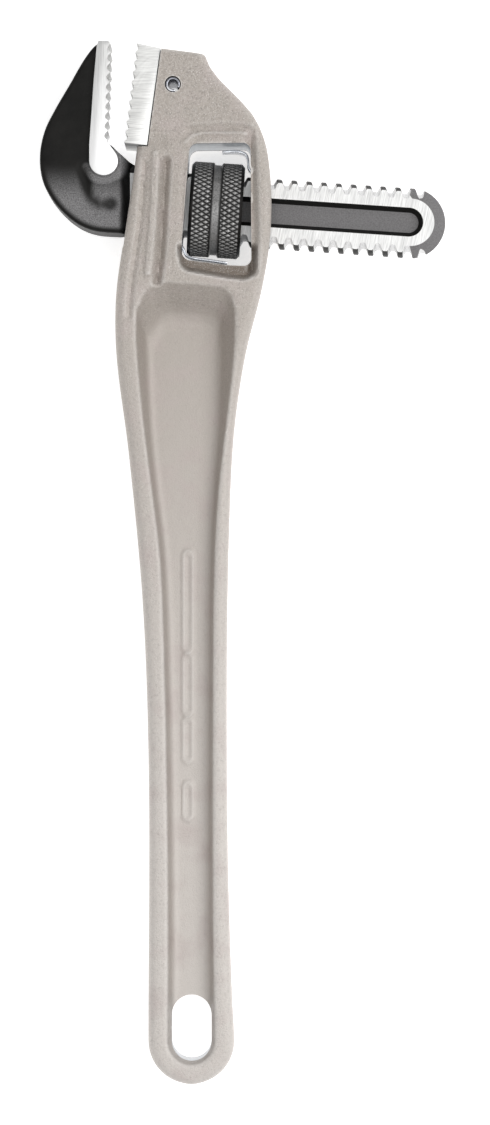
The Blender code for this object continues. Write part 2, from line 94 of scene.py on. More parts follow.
class Finish:
    # one material: its Principled shader, and the nodes that feed it
    def __init__(self, name, **constants):
        self.material = bpy.data.materials.new(name)
        self.material.use_nodes = True
        self.tree = self.material.node_tree
        self.shader = self.tree.nodes["Principled BSDF"]
        for socket, value in constants.items():
            self.shader.inputs[socket.replace("_", " ")].default_value = value
        place = self.node("TexCoord", {}, {}, "Object")
        self.place = self.node("VectorMath", {"operation": "SCALE"}, {0: place, "Scale": 1000.0})

    def node(self, kind, settings, values, output=0):
        step = self.tree.nodes.new("ShaderNode" + kind)
        for name, value in settings.items():
            setattr(step, name, value)
        for name, value in values.items():
            if isinstance(value, Wire):
                self.tree.links.new(value.socket, step.inputs[name])
            else:
                step.inputs[name].default_value = value
        return Wire(self.tree, step.outputs[output])

    def noise(self, size, detail=2.0, stretch=None, turn=0.0, rough=0.5):
        # noise whose lumps are about size millimetres across, drawn out along stretch
        place = self.place
        if stretch:
            place = self.node("Mapping", {}, {"Vector": place, "Rotation": (0.0, 0.0, turn)})
            place = self.node("VectorMath", {"operation": "MULTIPLY"}, {0: place, 1: stretch})
        return self.node("TexNoise", {}, {"Vector": place, "Scale": 1.0 / size, "Detail": detail,
                                          "Roughness": rough}, "Fac")

    def range(self, value, low, high, start=0.0, end=1.0):
        return self.node("MapRange", {}, {"Value": value, "From Min": low, "From Max": high,
                                          "To Min": start, "To Max": end})

    def blend(self, share, first, second):
        values = {0: share}
        for place, colour in ((6, first), (7, second)):
            values[place] = colour if isinstance(colour, Wire) else (*colour, 1.0)
        return self.node("Mix", {"data_type": "RGBA", "blend_type": "MIX"}, values, 2)

    def marked(self, name):
        return self.node("Attribute", {"attribute_name": name}, {}, "Fac")

    def edges(self, low, high):
        # 0 on flats and hollows, 1 on outward edges
        return self.range(self.node("NewGeometry", {}, {}, "Pointiness"), low, high)

    def relief(self, height, depth, after=None):
        values = {"Height": height, "Distance": depth * milli, "Strength": 1.0}
        if after:
            values["Normal"] = after
        return self.node("Bump", {}, values)

    def feed(self, **links):
        for socket, wire in links.items():
            self.tree.links.new(wire.socket, self.shader.inputs[socket.replace("_", " ")])
        return self.material


# painted casting: warm grey aluminium paint over sand-cast grain
castPaint = {
    "headTone": (0.435, 0.392, 0.353), "handleTone": (0.60, 0.56, 0.525), "rosy": (0.50, 0.43, 0.41),
    # paintedShade is the dark brown of the painted shade in the hollows and on the slopes
    "speckDark": (0.17, 0.15, 0.135), "paleSpeckAndHighlight": (0.88, 0.86, 0.83), "paintedShade": (0.185, 0.148, 0.118),
    "grain": 0.5, "coarse": 0.95,
}


def makeCastPaint():
    # marks on the mesh: coarse where the sand grain is deep, painted shade in the hollows and on the
    # slopes, tone up the handle
    look = castPaint
    paint = Finish("castPaint", Metallic=0.22)
    coarse = paint.marked("coarse")
    grain = paint.noise(look["grain"], 3.0, rough=0.6)
    lumps = paint.noise(look["coarse"], 2.0, rough=0.7)
    fine = paint.noise(look["grain"] * 0.5, 1.0)
    colour = paint.blend(paint.marked("tone"), look["handleTone"], look["headTone"])
    colour = paint.blend(paint.range(paint.noise(9.0, 3.0), 0.48, 0.74) * 0.55, colour, look["rosy"])
    # painted shade: the dark brown laid into the scoop under the window, the groove beside the rib and
    # the sloping sides
    colour = paint.blend(paint.marked("paintedShade"), colour, look["paintedShade"])
    dark = paint.range(lumps, 0.48, 0.30) * (coarse * 0.30 + 0.08)
    colour = paint.blend(dark, colour, look["speckDark"])
    pale = paint.range(fine, 0.56, 0.72) * (coarse * 0.4 + 0.15)
    colour = paint.blend(pale, colour, look["paleSpeckAndHighlight"])
    # edge wear and painted highlight: outward edges lightened towards the pale speck colour
    colour = paint.blend(paint.edges(0.508, 0.57) * 0.55, colour, look["paleSpeckAndHighlight"])
    rough = 0.40 + grain * 0.25
    bump = paint.relief(grain + lumps * coarse * 2.2, 0.16)
    bump = paint.relief(paint.noise(4.0, 2.0), 0.15, after=bump)
    return paint.feed(Base_Color=colour, Roughness=rough, Normal=bump)


def makeMachined():
    # bright cut faces of the casting: the window's walls, the bores
    cut = Finish("machinedCast", Metallic=0.75)
    lines = cut.noise(0.35, 2.0, stretch=(0.6, 0.6, 3.0))
    colour = cut.blend(lines, (0.50, 0.53, 0.56), (0.80, 0.83, 0.86))
    colour = cut.blend(cut.range(cut.noise(2.4, 2.0), 0.5, 0.75) * 0.4, colour, (0.26, 0.27, 0.30))
    # darker towards the faces: a near-black band along the top and bottom of the cut walls
    split = cut.node("SeparateXYZ", {}, {0: cut.place}, 2)
    height = cut.node("Math", {"operation": "ABSOLUTE"}, {0: split - origin.z / milli})
    colour = cut.blend(cut.range(height, 12.6, 14.6) * 0.9, colour, (0.04, 0.04, 0.045))
    return cut.feed(Base_Color=colour, Roughness=0.24 + lines * 0.2, Normal=cut.relief(lines, 0.03))


def makeForged():
    # black forged steel, rubbed grey and grainy where marked; on the hook's lower curve the grey is
    # partly a painted reflection
    forged = Finish("forgedBlack", Specular_IOR_Level=0.16)
    grain = forged.noise(0.42, 2.0, rough=0.65)
    rubbedAndSheen = forged.marked("rubbedAndSheen")
    colour = forged.blend(forged.range(forged.noise(6.0, 3.0), 0.35, 0.7),
                          (0.0045, 0.0043, 0.0038), (0.009, 0.0085, 0.0075))
    # grey dust where rubbed, partly a painted reflection where the lower curve is marked
    dustAndSheen = rubbedAndSheen * forged.range(grain, 0.34, 0.66, 0.4, 1.0)
    colour = forged.blend(dustAndSheen, colour, (0.30, 0.295, 0.298))
    colour = forged.blend(forged.edges(0.53, 0.62) * 0.25, colour, (0.12, 0.12, 0.115))
    rough = 0.40 + grain * 0.16 + rubbedAndSheen * 0.1
    bump = forged.relief(grain, 0.05)
    bump = forged.relief(forged.noise(5.0, 2.0), 0.18, after=bump)
    return forged.feed(Base_Color=colour, Roughness=rough, Normal=bump)


def makeGround(name, tone, turn=0.0, across=False, line=0.16, stain=(0.30, 0.30, 0.30), low=None):
    # ground steel: fine lines along x, or along y if across; low is the tone at the mark's end, a
    # painted sheen
    steel = Finish(name, Metallic=0.4)
    run = (1.0, 0.045, 1.0) if across else (0.045, 1.0, 1.0)
    lines = steel.noise(line, 2.0, stretch=run, turn=turn, rough=0.7)
    broad = steel.noise(line * 9.0, 2.0, stretch=run, turn=turn)
    dark = tuple(part * 0.66 for part in tone)
    colour = steel.blend(steel.range(lines, 0.3, 0.62), dark, tone)
    if low:
        colour = steel.blend(steel.marked("low"), colour, low)
    colour = steel.blend(steel.range(broad, 0.52, 0.78) * 0.4, colour, stain)
    colour = steel.blend(steel.edges(0.53, 0.62) * 0.6, colour, (0.92, 0.92, 0.92))
    bump = steel.relief(lines, 0.02)
    return steel.feed(Base_Color=colour, Roughness=0.30 + lines * 0.22, Normal=bump)


def makeGroove():
    groove = Finish("grooveGrey", Metallic=0.2)
    grain = groove.noise(0.5, 3.0, rough=0.6)
    colour = groove.blend(groove.range(grain, 0.3, 0.7), (0.135, 0.130, 0.132), (0.22, 0.215, 0.217))
    return groove.feed(Base_Color=colour, Roughness=0.5 + grain * 0.2,
                       Normal=groove.relief(grain, 0.06))


def makeOxide():
    # black oxide, worn to bare metal on the knurl's crests; the middle groove painted lighter and more
    # metallic as a painted sheen
    oxide = Finish("nutOxide", Specular_IOR_Level=0.35)
    wornAndSheen = oxide.marked("wornAndSheen")
    rub = oxide.noise(0.5, 2.0)
    share = wornAndSheen * oxide.range(rub, 0.25, 0.6, 0.35, 1.0)
    colour = oxide.blend(share, (0.007, 0.0065, 0.006), (0.52, 0.515, 0.51))
    brown = oxide.range(oxide.noise(4.0, 2.0), 0.5, 0.8) * 0.4
    colour = oxide.blend(brown, colour, (0.02, 0.017, 0.014))
    return oxide.feed(Base_Color=colour, Metallic=share * 0.7, Roughness=0.30 + rub * 0.14,
                      Normal=oxide.relief(rub, 0.03))


def makeSpringSteel(name, tone, roughness):
    steel = Finish(name, Metallic=0.9)
    lines = steel.noise(0.3, 2.0, stretch=(1.0, 1.0, 0.1))
    colour = steel.blend(steel.range(lines, 0.3, 0.7), tuple(part * 0.7 for part in tone), tone)
    colour = steel.blend(steel.edges(0.52, 0.6) * 0.7, colour, (0.9, 0.9, 0.92))
    return steel.feed(Base_Color=colour, Roughness=roughness + lines * 0.12,
                      Normal=steel.relief(lines, 0.01))


# ---- mesh helpers
def addObject(name, data):
    thing = bpy.data.objects.new(name, data)
    bpy.context.scene.collection.objects.link(thing)
    return thing


def makePiece(name, mesh, *materials):
    # a bmesh in millimetres becomes an object in the world
    bmesh.ops.recalc_face_normals(mesh, faces=mesh.faces)
    for vertex in mesh.verts:
        vertex.co = vertex.co * milli + origin
    data = bpy.data.meshes.new(name)
    mesh.to_mesh(data)
    mesh.free()
    for material in materials:
        data.materials.append(material)
    return addObject(name, data)


def settle(piece):
    # applies the piece's modifiers
    bpy.context.view_layer.update()
    graph = bpy.context.evaluated_depsgraph_get()
    data = bpy.data.meshes.new_from_object(piece.evaluated_get(graph))
    piece.modifiers.clear()
    piece.data = data


def combine(piece, others, operation="DIFFERENCE"):
    # cuts the others from the piece, or joins them; the cut faces keep the cutter's material
    for other in others:
        step = piece.modifiers.new(other.name, "BOOLEAN")
        step.object, step.operation = other, operation
        step.solver, step.material_mode = "EXACT", "TRANSFER"
    settle(piece)
    for other in others:
        bpy.data.objects.remove(other)


def voxelSkin(piece, size, smoothing):
    # one even skin over the piece, its edges melted as in a casting or a forging
    step = piece.modifiers.new("skin", "REMESH")
    step.mode, step.voxel_size = "VOXEL", size * milli * 1.0
    melt = piece.modifiers.new("melt", "SMOOTH")
    melt.factor, melt.iterations = 0.5, smoothing
    settle(piece)


def sharpen(piece, angle):
    piece.data.shade_smooth()
    piece.data.set_sharp_from_angle(angle=math.radians(angle))


def bevelEdges(piece, width, segments=2, angle=40):
    step = piece.modifiers.new("bevel", "BEVEL")
    step.width, step.segments = width * milli, segments
    step.limit_method, step.angle_limit = "ANGLE", math.radians(angle)
    settle(piece)


def loft(rings):
    # a closed skin over rings with the same number of points
    mesh = bmesh.new()
    rows = [[mesh.verts.new(point) for point in ring] for ring in rings]
    count = len(rows[0])
    for first, second in zip(rows, rows[1:]):
        for i in range(count):
            j = (i + 1) % count
            mesh.faces.new((first[i], first[j], second[j], second[i]))
    mesh.faces.new(rows[0][::-1])
    mesh.faces.new(rows[-1])
    return mesh


def prism(outline, low, high):
    return loft([[(x, y, z) for x, y in outline] for z in (low, high)])


def cylinder(centre, radius, length, sides=48):
    mesh = bmesh.new()
    bmesh.ops.create_cone(mesh, cap_ends=True, segments=sides, radius1=radius, radius2=radius,
                          depth=length, matrix=Matrix.Translation((*centre, 0.0)))
    return mesh


def onShank(mesh):
    bmesh.ops.transform(mesh, matrix=toWrench, verts=mesh.verts)
    return mesh


def curveAt(keys, place):
    # a smooth curve through (place, value) keys
    if place <= keys[0][0]:
        return keys[0][1]
    if place >= keys[-1][0]:
        return keys[-1][1]
    slopes = [(b[1] - a[1]) / (b[0] - a[0]) for a, b in zip(keys, keys[1:])]
    tangents = [slopes[0]] + [(a + b) / 2 for a, b in zip(slopes, slopes[1:])] + [slopes[-1]]
    i = max(n for n in range(len(keys) - 1) if keys[n][0] <= place)
    span = keys[i + 1][0] - keys[i][0]
    t = (place - keys[i][0]) / span
    return ((2 * t**3 - 3 * t**2 + 1) * keys[i][1] + (t**3 - 2 * t**2 + t) * span * tangents[i]
            + (3 * t**2 - 2 * t**3) * keys[i + 1][1] + (t**3 - t**2) * span * tangents[i + 1])


def ease(value, start, end):
    # 0 before start, 1 after end; works on numbers and arrays
    t = np.clip((value - start) / (end - start), 0.0, 1.0)
    return t * t * (3 - 2 * t)


def spread(start, end, step):
    count = max(1, math.ceil((end - start) / step))
    return [start + (end - start) * i / count for i in range(count + 1)]


def filleted(corners, radius, steps=8):
    # the polygon with each corner rounded; radius is a number or one for each corner
    outline = []
    for i, corner in enumerate(corners):
        size = radius[i] if isinstance(radius, (list, tuple)) else radius
        here = Vector(corner)
        before = (Vector(corners[i - 1]) - here).normalized()
        after = (Vector(corners[(i + 1) % len(corners)]) - here).normalized()
        half = before.angle(after) / 2
        middle = here + (before + after).normalized() * size / math.sin(half)
        start = here + before * size / math.tan(half) - middle
        end = here + after * size / math.tan(half) - middle
        turn = start.angle_signed(end)
        for s in range(steps + 1):
            outline.append(tuple(middle + Matrix.Rotation(-turn * s / steps, 2) @ start))
    return outline


def smoothPath(points, pieces=8):
    # a curve through the given points
    ends = [Vector(points[0]) * 2 - Vector(points[1]), Vector(points[-1]) * 2 - Vector(points[-2])]
    p = [ends[0], *map(Vector, points), ends[1]]
    path = []
    for i in range(1, len(p) - 2):
        for s in range(pieces):
            t = s / pieces
            path.append(0.5 * (2 * p[i] + (p[i + 1] - p[i - 1]) * t
                               + (2 * p[i - 1] - 5 * p[i] + 4 * p[i + 1] - p[i + 2]) * t * t
                               + (3 * p[i] - p[i - 1] - 3 * p[i + 1] + p[i + 2]) * t**3))
    return [tuple(point) for point in path] + [tuple(p[-2])]


def arc(centre, radius, start, end, steps):
    # points on a circle, from one angle in degrees to the other
    angles = [math.radians(start + (end - start) * s / steps) for s in range(steps + 1)]
    return [(centre[0] + radius * math.cos(a), centre[1] + radius * math.sin(a)) for a in angles]


# ---- modelling by strokes, as with a sculpting brush
def pointsOf(piece):
    # the piece's vertices in millimetres on the wrench's axes
    points = np.empty(len(piece.data.vertices) * 3)
    piece.data.vertices.foreach_get("co", points)
    return (points.reshape(-1, 3) - np.array(origin)) / milli


def movePoints(piece, points):
    piece.data.vertices.foreach_set("co", (points * milli + np.array(origin)).ravel())
    piece.data.update()


def reachOf(points, path):
    # how far each point is from the path, seen from above
    best = np.full(len(points), 1e9)
    flat = points[:, :2]
    for start, end in zip(path, path[1:]):
        start, run = np.array(start[:2]), np.array(end[:2]) - np.array(start[:2])
        share = np.clip((flat - start) @ run / (run @ run), 0.0, 1.0)
        best = np.minimum(best, np.linalg.norm(flat - start - share[:, None] * run, axis=1))
    return best


def depthInside(points, outline):
    # how far inside the outline each point is, seen from above; negative outside
    inside = np.zeros(len(points), bool)
    x, y = points[:, 0], points[:, 1]
    for (ax, ay), (bx, by) in zip(outline, [*outline[1:], outline[0]]):
        crosses = (ay > y) != (by > y)
        with np.errstate(divide="ignore", invalid="ignore"):
            inside ^= crosses & (x < ax + (y - ay) * (bx - ax) / (by - ay))
    reach = reachOf(points, [*outline, outline[0]])
    return np.where(inside, reach, -reach)


def stroke(points, path, half, soft):
    # 1 along the path, falling to 0 beyond half
    line = smoothPath(path, 4) if len(path) > 2 else path
    return 1 - ease(reachOf(points, line), half - soft / 2, half + soft / 2)


def markPoints(piece, name, values):
    mark = piece.data.attributes.new(name, "FLOAT", "POINT")
    mark.data.foreach_set("value", np.asarray(values, np.float32))


# ---- the frame casting
casting = {
    "voxel": 0.6, "smoothing": 12,
    "headHalf": 16.9, "handleHalf": 10.45,
    "endCentre": (0.4, 14.75), "endRadius": 14.7,
    "headEdge": 2.6, "handleEdge": 2.8, "edgeShare": 0.45,
    "swell": (206, 282), "edgeChange": (240, 300),   # heights over which thickness and edges change
    "top": 354.0, "bodyTop": 354.6, "through": 30, "headDrop": 0.7,
    "right": ((14.7, 15.1), (29, 14.3), (97, 12.6), (199, 13.6), (225, 15.2), (250, 19.0),
              (273, 24.7), (292, 27.5), (312, 27.1), (322, 25.3), (331, 20.8), (338.6, 13.6),
              (344.8, 7.8), (349, 5.6), (354, 4.4)),
    "left": ((14.7, -14.3), (114, -14.3), (165, -16.3), (216, -21.1), (250, -25.2), (269, -25.2),
             (288, -22.6), (305, -20.1), (319.4, -18.0), (354, -14.0)),
    "topCut": ((-14, 353.2), (6.2, 350.6), (12, 360), (-14, 362)),
    "pocketRight": ((14.7, 8.3), (59, 7.8), (135, 7.8), (181, 8.4), (204, 9.8), (232, 13.2),
                    (256, 15.6), (266, 15.2)),
    "pocketLeft": ((14.7, -7.6), (59, -7.5), (91, -7.8), (135, -8.6), (181, -10.4), (204, -13.2),
                   (232, -16.6), (258, -18.5), (266, -17.9)),
    "pocketHead": ((14.3, 269.4), (11.6, 271.7), (3.4, 272.6), (-8.2, 273.3), (-13.6, 272.0),
                   (-16.6, 269.0)),
    "pocketLevels": ((4.0, 1.6), (4.5, 0.7), (5.6, 0.15), (7.5, 0.0), (10.5, 0.0), (20.0, 0.0)),
    "pocketOpens": (196, 250), "draft": 0.2, "draftGain": {"right": 0.3, "left": 0.12},
    "rampAt": 272, "rampDraft": 0.85, "rampNarrows": 0.024, "pocketTop": 265,
    "footFillet": 0.6, "rampFillet": 3.0,
    "holeWidth": 13.6, "holeSpan": (7.8, 30.2), "holeMiddle": 0.5,
    "window": ((-3.2, 281.3), (12.9, 279.3), (20.9, 278.9), (20.6, 320.6), (-0.1, 320.3)),
    "windowRound": (3.4, 30.0, 2.8, 2.6, 3.0),
    "seat": ((-14.3, 319.4), (-9.7, 352.8), (-7.86, 366.2)),
    "passageHalf": 6.6,
    "leftPassage": ((-40, 285.3), (1, 285.3), (1, 312.1), (-9.5, 313.0), (-12, 317.0),
                    (-15, 318.7), (-40, 318.7)),
    "rightPassage": ((18, 285.2), (32, 284.2), (32, 313.2), (18, 313.6)),
    "mouth": ((-40, -14.4), (-18.8, -14.4), (-14.6, -6.6), (-14.6, 6.6), (-18.8, 14.4), (-40, 14.4)),
    "mouthSpan": (285.3, 318.7),
    "tangSlot": ((-19.0, 323.8), (0.6, 322.8), (3.2, 362.0), (-16.0, 362.0)), "tangSlotHalf": 6.5,
    "pinCentre": (-5.8, 340.4), "pinHole": 2.75,
}


def castRing(height):
    # the casting's rounded cross-section at one height
    if height < casting["endCentre"][1]:
        rise = casting["endCentre"][1] - height
        reach = math.sqrt(max(0.0, casting["endRadius"]**2 - rise**2))
        left, right = casting["endCentre"][0] - reach, casting["endCentre"][0] + reach
    else:
        left, right = curveAt(casting["left"], height), curveAt(casting["right"], height)
    half = surfaceHalf(height)
    grow = ease(height, *casting["edgeChange"])
    edge = casting["handleEdge"] + (casting["headEdge"] - casting["handleEdge"]) * grow
    edge = min(edge, (right - left) * casting["edgeShare"])
    ring = []
    for x, z, quarter in ((right - edge, half - edge, 0), (left + edge, half - edge, 1),
                          (left + edge, edge - half, 2), (right - edge, edge - half, 3)):
        for s in range(6):
            around = (quarter + s / 5) * math.pi / 2
            ring.append((x + edge * math.cos(around), height, z + edge * math.sin(around)))
    return ring


def surfaceHalf(height):
    rise = casting["headHalf"] - casting["handleHalf"]
    return casting["handleHalf"] + rise * float(ease(height, *casting["swell"]))


def outerOutline():
    heights = spread(2.0, casting["top"], 8.0)
    rings = [castRing(height) for height in heights]
    return ([(max(point[0] for point in ring), height) for ring, height in zip(rings, heights)]
            + [(min(point[0] for point in ring), height) for ring, height in zip(rings, heights)][::-1])


def pocketCutter(side):
    # the long recess: walls slope in towards the web, most at the head's end
    def drawnIn(height, slope, z):
        return slope * (surfaceHalf(height) - z)

    def wallSlope(wall, height):
        gain = casting["draftGain"][wall] * float(ease(height, *casting["pocketOpens"]))
        return casting["draft"] + gain

    foot = casting["endCentre"][1]
    radius = (casting["pocketRight"][0][1] - casting["pocketLeft"][0][1]) / 2
    middle = (casting["pocketRight"][0][1] + casting["pocketLeft"][0][1]) / 2
    rings = []
    for z, fillet in casting["pocketLevels"]:
        shrink = drawnIn(foot, casting["draft"], z) + fillet * casting["footFillet"]
        outline = arc((middle, foot), radius - shrink, -170, -10, 16)
        ramp = drawnIn(casting["rampAt"], casting["rampDraft"], z)
        ramp += fillet * casting["rampFillet"]
        heights = [foot + (casting["pocketTop"] - ramp - foot) * i / 48 for i in range(49)]
        for h in heights:
            slope = wallSlope("right", h)
            outline.append((curveAt(casting["pocketRight"], h) - drawnIn(h, slope, z) - fillet, h))
        for x, y in casting["pocketHead"]:
            outline.append((x * (1 - casting["rampNarrows"] * (casting["headHalf"] - z)), y - ramp))
        for h in reversed(heights):
            slope = wallSlope("left", h)
            outline.append((curveAt(casting["pocketLeft"], h) + drawnIn(h, slope, z) + fillet, h))
        rings.append([(x, y, side * z) for x, y in outline])
    return loft(rings)


# the head's sunken and raised shapes: (path, half width, softness, height)
headStrokes = (
    (((-11.2, 273.5), (-9.9, 284), (-8.9, 300), (-8.1, 314.5)), 1.0, 2.8, -2.0),
    (((-0.5, 324.9), (6, 325.7), (17, 325.7), (21.0, 324.4)), 0.7, 3.0, -0.9),
    (((-1.6, 320.8), (0.4, 322.5), (3.4, 323.5), (17, 323.9), (19.8, 322.9), (21.4, 320.4)),
     0.4, 1.8, 0.55),
    (((-11.6, 316.8), (-12.2, 301), (-13.3, 287), (-14.3, 276.6)), 1.2, 1.3, 0.8),
    (((-9.5, 320.9), (-13.0, 321.2), (-17.5, 319.5)), 0.8, 3.6, -0.9),
    (((-15.2, 314), (-16.2, 300), (-17.8, 287), (-20.2, 270), (-20.6, 262)), 0.6, 2.4, -0.9),
    (((20.6, 322.0), (21.4, 300), (21.6, 284), (21.4, 277)), 0.8, 3.8, -2.6),
    (((20.9, 320.6), (0.3, 320.2), (-3.2, 282)), 0.3, 2.2, -0.5),
)
scoop = {
    "outline": ((-4.3, 286.0), (-3.2, 277.4), (12.6, 274.6), (22.4, 273.6), (22.8, 286.0)),
    "round": (1.0, 4.2, 12.0, 4.6, 1.0), "foot": 276, "depth": 4.2, "slope": 0.25,
}
# raised bars on the web, each with a shallow dent along it
marks = {
    "bars": ((180.5, 148.6), (145.4, 127.0), (123.6, 111.0), (101.4, 91.4)), "middle": -0.7,
    "half": 2.2, "height": 0.4, "dentHalf": 0.9, "dent": 0.35, "rim": 1,
}


def castHead(points):
    # how far the surface moves out of the plain loft
    y = points[:, 1]
    rise = -casting["headDrop"] * (1 - ease(y, 322.0, 327.5)) * ease(y, 250, 277)
    for path, half, soft, height in headStrokes:
        rise += height * stroke(points, path, half, soft)
    inside = depthInside(points, filleted(scoop["outline"], scoop["round"]))
    depth = scoop["depth"] + scoop["slope"] * (y - scoop["foot"])
    rise -= depth * ease(inside, -0.5, 1.7) * ease(300 - y, 0, 10)
    middle, rim = marks["middle"], marks["rim"]
    for top, bottom in marks["bars"]:
        bar = ((middle, top), (middle, bottom))
        dent = ((middle, top - rim), (middle, bottom + rim))
        rise += marks["height"] * stroke(points, bar, marks["half"], 0.6)
        rise -= marks["dent"] * stroke(points, dent, marks["dentHalf"], 0.6)
    return rise


def buildCasting(paint, machined):
    through = casting["through"]
    heights = ([casting["endCentre"][1] - casting["endRadius"] * math.cos(math.radians(a))
                for a in range(4, 90, 4)]
               + spread(casting["endCentre"][1], casting["bodyTop"], 4))
    body = makePiece("frame_casting", loft([castRing(height) for height in heights]), paint)
    combine(body, [makePiece("pocketFront", pocketCutter(1), paint),
                   makePiece("pocketBack", pocketCutter(-1), paint),
                   makePiece("topCut", prism(casting["topCut"], -through, through), paint)])
    voxelSkin(body, casting["voxel"], casting["smoothing"])
    points = pointsOf(body)
    out = np.sign(points[:, 2]) * ease(np.abs(points[:, 2]), 1.0, 3.6)
    points[:, 2] += out * castHead(points)
    points[:, 2] = np.clip(points[:, 2], -casting["headHalf"], casting["headHalf"])
    movePoints(body, points)

    seat, beyond = casting["seat"][:2], casting["seat"][2]
    radius, middle = casting["holeWidth"] / 2, casting["holeMiddle"]
    inner = casting["passageHalf"]
    low, high = casting["holeSpan"]
    hole = (arc((middle, high - radius), radius, 0, 180, 20)
            + arc((middle, low + radius), radius, 180, 360, 20))
    mouth = [[(x, y, z) for x, z in casting["mouth"]] for y in casting["mouthSpan"]]
    slotHalf = casting["tangSlotHalf"]
    cutters = (
        ("seat", prism((*seat, beyond, (-40, beyond[1]), (-40, seat[0][1])), -through, through)),
        ("window", prism(filleted(casting["window"], casting["windowRound"]), -through, through)),
        ("leftPassage", prism(casting["leftPassage"], -inner, inner)),
        ("mouth", loft(mouth)),
        ("rightPassage", prism(casting["rightPassage"], -inner, inner)),
        ("tangSlot", prism(casting["tangSlot"], -slotHalf, slotHalf)),
        ("pinHole", cylinder(casting["pinCentre"], casting["pinHole"], 2 * through)),
        ("hangHole", prism(hole, -through, through)),
    )
    combine(body, [makePiece(name, mesh, machined) for name, mesh in cutters])
    points = pointsOf(body)
    normals = np.empty(len(points) * 3)
    body.data.vertex_normals.foreach_get("vector", normals)
    slope = 1 - np.abs(normals.reshape(-1, 3)[:, 2])
    x, y, z = points[:, 0], points[:, 1], np.abs(points[:, 2])
    hollow = ease(depthInside(points, filleted(scoop["outline"], scoop["round"])), -0.2, 2.0)
    onFace = 1 - ease(depthInside(points, outerOutline()), 0.8, 2.6)
    # painted shade: darker on the sloping sides off the faces, in the scoop under the window and along
    # the groove beside the rib
    paintedShade = np.clip(0.20 * ease(slope, 0.1, 0.75) * (1 - onFace) + 0.9 * hollow * ease(300 - y, 0, 9)
                    + 0.38 * stroke(points, headStrokes[0][0], 1.2, 2.4), 0, 0.95)
    markPoints(body, "paintedShade", paintedShade)
    markPoints(body, "coarse", ease(z, 5.0, 8.0) * (0.45 + 0.55 * ease(y, 240, 300)))
    markPoints(body, "tone", ease(y, 60, 330))
    sharpen(body, 34)
    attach(body, "frame")
    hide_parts("frame_handle")


# ---- heel jaw and its pin
heel = {
    "face": ((-22.4, 320.6), (-18.2, 354.4)), "half": 16.2, "back": ((-10.0, 352.7), (-14.6, 319.7)),
    "tang": ((-15.5, 324.2), (0.2, 323.2), (2.4, 350.0), (-11.0, 352.4)), "tangHalf": 6.2,
    "bore": 2.8,
}
tooth = {"pitch": 3.4, "depth": 1.05}
pin = {
    "centre": casting["pinCentre"], "radius": 2.5, "wall": 0.8, "length": 32.6,
    "slot": 44, "slotAt": -52,
}


def teeth(bottom, top, inward):
    # rounded saw teeth on the line from bottom to top
    low, high = Vector(bottom), Vector(top)
    count = round((high - low).length / tooth["pitch"])
    step = (high - low) / count
    valley = Vector(inward) * tooth["depth"]
    outline = []
    shape = ((0.0, 0.12), (0.06, 0.0), (0.14, 0.03), (0.40, 0.84), (0.50, 1.0), (0.64, 1.0),
             (0.76, 0.78), (0.92, 0.30))
    for n in range(count):
        outline += [low + step * (n + along) + valley * sink for along, sink in shape]
    return [tuple(point) for point in outline] + [tuple(high)]


def buildHeel(steel, pinSteel):
    left = teeth(*heel["face"], (1.0, -0.1))
    shape = prism(left + list(heel["back"]), -heel["half"], heel["half"])
    block = makePiece("heel_jaw_block", shape, steel)
    tang = makePiece("tang", prism(heel["tang"], -heel["tangHalf"], heel["tangHalf"]), steel)
    bore = makePiece("bore", cylinder(pin["centre"], heel["bore"], 60), steel)
    bevelEdges(block, 0.3, 2, 50)
    combine(block, [tang], "UNION")
    combine(block, [bore])
    sharpen(block, 28)

    around = 360 - pin["slot"]
    first = pin["slotAt"] + pin["slot"] / 2
    rim = arc(pin["centre"], pin["radius"], first, first + around, 44)
    rim += arc(pin["centre"], pin["radius"] - pin["wall"], first + around, first, 44)
    rolled = makePiece("slotted_pin", prism(rim, -pin["length"] / 2, pin["length"] / 2), pinSteel)
    bevelEdges(rolled, 0.22, 2, 50)
    sharpen(rolled, 30)
    for piece, node, slot in ((block, "heel_jaw", "ground_steel"),
                              (rolled, "heel_jaw_pin", "pin_steel")):
        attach(piece, "frame")
        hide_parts(node)


# ---- hook jaw
hook = {
    "voxel": 0.5, "smoothing": 9, "half": 12.5, "edge": 3.0, "padHalf": 14.0,
    "setback": (1.8, 0.4), "foot": (-18.0, 289.7), "padTop": (-27.7, 355.4),
    "shoulder": ((-24.4, 14.1), (-20.4, 5.9), (-10.0, 5.9), (-10.0, 20.0), (-24.4, 20.0)),
    "shoulderSpan": (280, 330),
    "face": ((-28.1, 321.3), (-26.9, 354.4)),
    "back": ((-31.0, 355.2), (-33.6, 352.8), (-37.0, 347.9), (-41.1, 340.7), (-45.9, 332.5),
             (-49.6, 324.9), (-51.2, 316.4), (-50.1, 307.6), (-45.8, 300.0), (-39.4, 293.9),
             (-32.3, 290.8), (-22.4, 290.0)),
    "throat": ((-18.0, 313.2), (-20.7, 314.8), (-24.5, 317.8), (-26.9, 320.2)),
    "padBack": ((-31.2, 355.5), (-31.7, 353.9), (-32.8, 342.0), (-34.3, 320.0)),
    "padEnd": (-29.4, 314.6), "padRadius": 4.9,
    "lowerCurve": ((-49.0, 312), (-46.5, 304), (-41.5, 298), (-34, 294), (-25, 292.6)),
    "dimple": ((-27.4, 300.0), (-27.0, 300.2)), "rimCentre": (-27.2, 300.1), "rimRadius": 4.1,
    "valley": ((-36, 312), (-34.5, 303), (-31, 300)),
}
